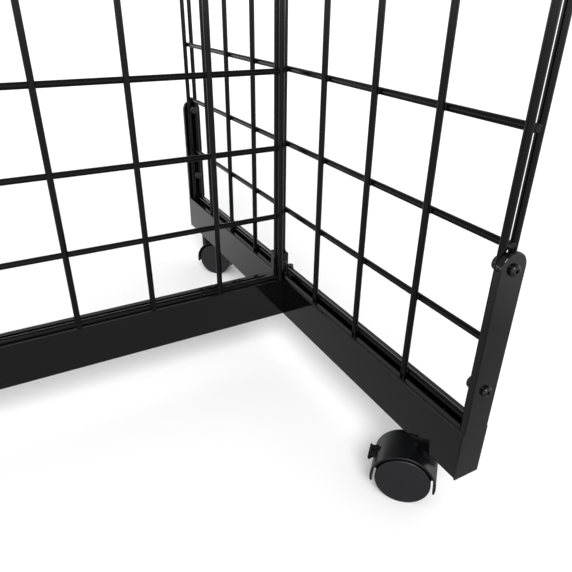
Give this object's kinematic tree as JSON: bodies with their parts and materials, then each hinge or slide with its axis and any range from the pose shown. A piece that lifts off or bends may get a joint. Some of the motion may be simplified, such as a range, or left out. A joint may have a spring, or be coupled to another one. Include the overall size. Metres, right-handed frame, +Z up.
{
  "type": "gridwall display stand",
  "caption": "Rolling gridwall display stand in an H plan: welded wire panels on slotted base rails with short uprights and braked twin-wheel casters.",
  "frame": {"origin": "on the floor, under the middle of the stand (bottom centre of the bounding box)", "axes": "+X along the centre panel towards the right end panel, +Y from the front edge of the end panels to their back edge, +Z up"},
  "size_m": [1.3492, 0.6298, 1.3377],
  "materials": {
    "panel_wire": "semi-gloss black powder coat",
    "base_rail": "semi-gloss black powder coat",
    "bracket_steel": "black powder coat",
    "joining_clip": "black powder coat",
    "screw_steel": "black zinc plating",
    "nut_steel": "zinc plating",
    "caster_stem": "zinc-plated steel",
    "caster_housing": "black nylon, satin",
    "caster_wheel": "black nylon, satin",
    "brake_lever": "black nylon, satin"
  },
  "bodies": {
    "stand": {"end_panel_left": "panel_wire", "end_rail_left": "base_rail", "junction_tongue_left": "bracket_steel", "upright_front_left": "base_rail", "upright_back_left": "base_rail", "clip_front_lower_left": "joining_clip", "clip_back_lower_left": "joining_clip", "clip_front_upper_left": "joining_clip", "clip_back_upper_left": "joining_clip", "end_panel_right": "panel_wire", "end_rail_right": "base_rail", "junction_tongue_right": "bracket_steel", "upright_front_right": "base_rail", "upright_back_right": "base_rail", "clip_front_lower_right": "joining_clip", "clip_back_lower_right": "joining_clip", "clip_front_upper_right": "joining_clip", "clip_back_upper_right": "joining_clip", "centre_panel": "panel_wire", "cross_rail": "base_rail", "upright_screws": "screw_steel", "clip_bolts": "screw_steel", "lip_screws": "screw_steel", "cap_nuts": "nut_steel", "clip_nuts": "nut_steel", "lip_nuts": "nut_steel", "caster_washers": "nut_steel", "caster_nuts": "nut_steel", "caster_stem_front_right": "caster_stem", "caster_stem_back_right": "caster_stem", "caster_stem_front_left": "caster_stem", "caster_stem_back_left": "caster_stem"},
    "caster_front_right": {"caster_housing_front_right": "caster_housing", "caster_axle_front_right": "caster_stem", "lever_pin_front_right": "caster_stem"},
    "wheel_outer_front_right": {"caster_wheel_outer_front_right": "caster_wheel"},
    "wheel_inner_front_right": {"caster_wheel_inner_front_right": "caster_wheel"},
    "lever_front_right": {"brake_lever_front_right": "brake_lever"},
    "caster_back_right": {"caster_housing_back_right": "caster_housing", "caster_axle_back_right": "caster_stem", "lever_pin_back_right": "caster_stem"},
    "wheel_outer_back_right": {"caster_wheel_outer_back_right": "caster_wheel"},
    "wheel_inner_back_right": {"caster_wheel_inner_back_right": "caster_wheel"},
    "lever_back_right": {"brake_lever_back_right": "brake_lever"},
    "caster_front_left": {"caster_housing_front_left": "caster_housing", "caster_axle_front_left": "caster_stem", "lever_pin_front_left": "caster_stem"},
    "wheel_outer_front_left": {"caster_wheel_outer_front_left": "caster_wheel"},
    "wheel_inner_front_left": {"caster_wheel_inner_front_left": "caster_wheel"},
    "lever_front_left": {"brake_lever_front_left": "brake_lever"},
    "caster_back_left": {"caster_housing_back_left": "caster_housing", "caster_axle_back_left": "caster_stem", "lever_pin_back_left": "caster_stem"},
    "wheel_outer_back_left": {"caster_wheel_outer_back_left": "caster_wheel"},
    "wheel_inner_back_left": {"caster_wheel_inner_back_left": "caster_wheel"},
    "lever_back_left": {"brake_lever_back_left": "brake_lever"}
  },
  "joints": [
    {"name": "swivel_front_right", "type": "hinge", "parent": "stand", "child": "caster_front_right", "pos_m": [0.6276, -0.2682, 0.056], "axis": [0, 0, 1], "continuous": true},
    {"name": "roll_outer_front_right", "type": "hinge", "parent": "caster_front_right", "child": "wheel_outer_front_right", "pos_m": [0.61482, -0.2551, 0.025], "axis": [0.7157, 0.6984, 0], "continuous": true},
    {"name": "roll_inner_front_right", "type": "hinge", "parent": "caster_front_right", "child": "wheel_inner_front_right", "pos_m": [0.61482, -0.2551, 0.025], "axis": [0.7157, 0.6984, 0], "continuous": true},
    {"name": "brake_front_right", "type": "hinge", "parent": "caster_front_right", "child": "lever_front_right", "pos_m": [0.60399, -0.24401, 0.041], "axis": [0.7157, 0.6984, 0], "range_deg": [0, 14]},
    {"name": "swivel_back_right", "type": "hinge", "parent": "stand", "child": "caster_back_right", "pos_m": [0.6276, 0.2682, 0.056], "axis": [0, 0, 1], "continuous": true},
    {"name": "roll_outer_back_right", "type": "hinge", "parent": "caster_back_right", "child": "wheel_outer_back_right", "pos_m": [0.64038, 0.2551, 0.025], "axis": [-0.7157, -0.6984, 0], "continuous": true},
    {"name": "roll_inner_back_right", "type": "hinge", "parent": "caster_back_right", "child": "wheel_inner_back_right", "pos_m": [0.64038, 0.2551, 0.025], "axis": [-0.7157, -0.6984, 0], "continuous": true},
    {"name": "brake_back_right", "type": "hinge", "parent": "caster_back_right", "child": "lever_back_right", "pos_m": [0.65121, 0.24401, 0.041], "axis": [-0.7157, -0.6984, 0], "range_deg": [0, 14]},
    {"name": "swivel_front_left", "type": "hinge", "parent": "stand", "child": "caster_front_left", "pos_m": [-0.6276, -0.2682, 0.056], "axis": [0, 0, 1], "continuous": true},
    {"name": "roll_outer_front_left", "type": "hinge", "parent": "caster_front_left", "child": "wheel_outer_front_left", "pos_m": [-0.61482, -0.2551, 0.025], "axis": [0.7157, -0.6984, 0], "continuous": true},
    {"name": "roll_inner_front_left", "type": "hinge", "parent": "caster_front_left", "child": "wheel_inner_front_left", "pos_m": [-0.61482, -0.2551, 0.025], "axis": [0.7157, -0.6984, 0], "continuous": true},
    {"name": "brake_front_left", "type": "hinge", "parent": "caster_front_left", "child": "lever_front_left", "pos_m": [-0.60399, -0.24401, 0.041], "axis": [0.7157, -0.6984, 0], "range_deg": [0, 14]},
    {"name": "swivel_back_left", "type": "hinge", "parent": "stand", "child": "caster_back_left", "pos_m": [-0.6276, 0.2682, 0.056], "axis": [0, 0, 1], "continuous": true},
    {"name": "roll_outer_back_left", "type": "hinge", "parent": "caster_back_left", "child": "wheel_outer_back_left", "pos_m": [-0.64038, 0.2551, 0.025], "axis": [-0.7157, 0.6984, 0], "continuous": true},
    {"name": "roll_inner_back_left", "type": "hinge", "parent": "caster_back_left", "child": "wheel_inner_back_left", "pos_m": [-0.64038, 0.2551, 0.025], "axis": [-0.7157, 0.6984, 0], "continuous": true},
    {"name": "brake_back_left", "type": "hinge", "parent": "caster_back_left", "child": "lever_back_left", "pos_m": [-0.65121, 0.24401, 0.041], "axis": [-0.7157, 0.6984, 0], "range_deg": [0, 14]}
  ]
}
